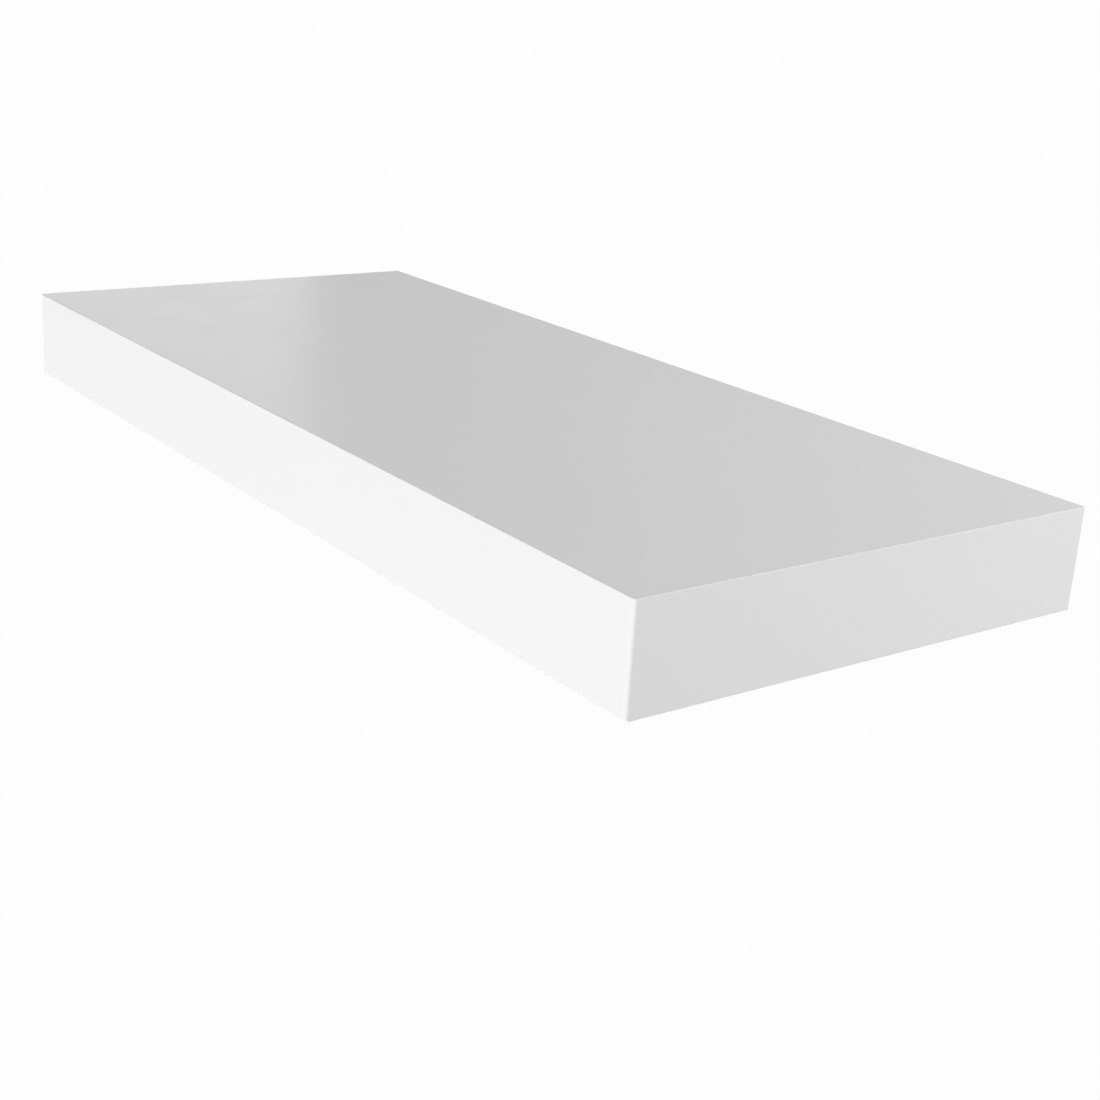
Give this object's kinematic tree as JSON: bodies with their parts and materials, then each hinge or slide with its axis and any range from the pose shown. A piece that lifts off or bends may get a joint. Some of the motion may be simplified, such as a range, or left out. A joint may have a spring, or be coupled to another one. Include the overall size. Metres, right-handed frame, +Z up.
{
  "type": "floating wall shelf",
  "caption": "Thick plain white hollow-core wall shelf that slides over the round rods of a hidden steel wall bracket and is clamped from below with grub screws.",
  "frame": {"origin": "middle of the wall bar's back face, on the wall plane", "axes": "+X along the shelf, to the right seen from the room; +Y into the wall; +Z up"},
  "size_m": [0.6, 0.26, 0.05],
  "materials": {
    "white_lacquered_hardboard": "satin white lacquer on hardboard",
    "white_lacquered_edging": "satin white lacquer on ABS edging",
    "sawn_chipboard": "sawn chipboard",
    "honeycomb_paper": "recycled kraft paper",
    "zinc_plated_steel": "bright zinc plating",
    "weld_bead_steel": "plated weld bead",
    "black_oxide_steel": "black oxide",
    "machined_brass": "turned brass"
  },
  "bodies": {
    "bracket": {"wall_bar": "zinc_plated_steel", "left_rod": "zinc_plated_steel", "middle_rod": "zinc_plated_steel", "right_rod": "zinc_plated_steel", "left_rod_weld": "weld_bead_steel", "middle_rod_weld": "weld_bead_steel", "right_rod_weld": "weld_bead_steel"},
    "shelf": {"top_skin": "white_lacquered_hardboard", "bottom_skin": "white_lacquered_hardboard", "front_rail": "sawn_chipboard", "left_end_rail": "sawn_chipboard", "right_end_rail": "sawn_chipboard", "rear_rail": "sawn_chipboard", "left_rod_block": "sawn_chipboard", "middle_rod_block": "sawn_chipboard", "right_rod_block": "sawn_chipboard", "left_outer_honeycomb": "honeycomb_paper", "left_inner_honeycomb": "honeycomb_paper", "right_outer_honeycomb": "honeycomb_paper", "right_inner_honeycomb": "honeycomb_paper", "front_edge_band": "white_lacquered_edging", "left_edge_band": "white_lacquered_edging", "right_edge_band": "white_lacquered_edging", "left_threaded_insert": "machined_brass", "right_threaded_insert": "machined_brass"},
    "left_lock_screw": {"left_lock_screw": "black_oxide_steel"},
    "right_lock_screw": {"right_lock_screw": "black_oxide_steel"}
  },
  "joints": [
    {"name": "shelf_slide", "type": "slide", "parent": "bracket", "child": "shelf", "axis": [0, -1, 0], "range_m": [0, 0.18]},
    {"name": "left_lock_travel", "type": "slide", "parent": "shelf", "child": "left_lock_screw", "axis": [0, 0, 1], "range_m": [0, 0.0027]},
    {"name": "right_lock_travel", "type": "slide", "parent": "shelf", "child": "right_lock_screw", "axis": [0, 0, 1], "range_m": [0, 0.0027]}
  ]
}
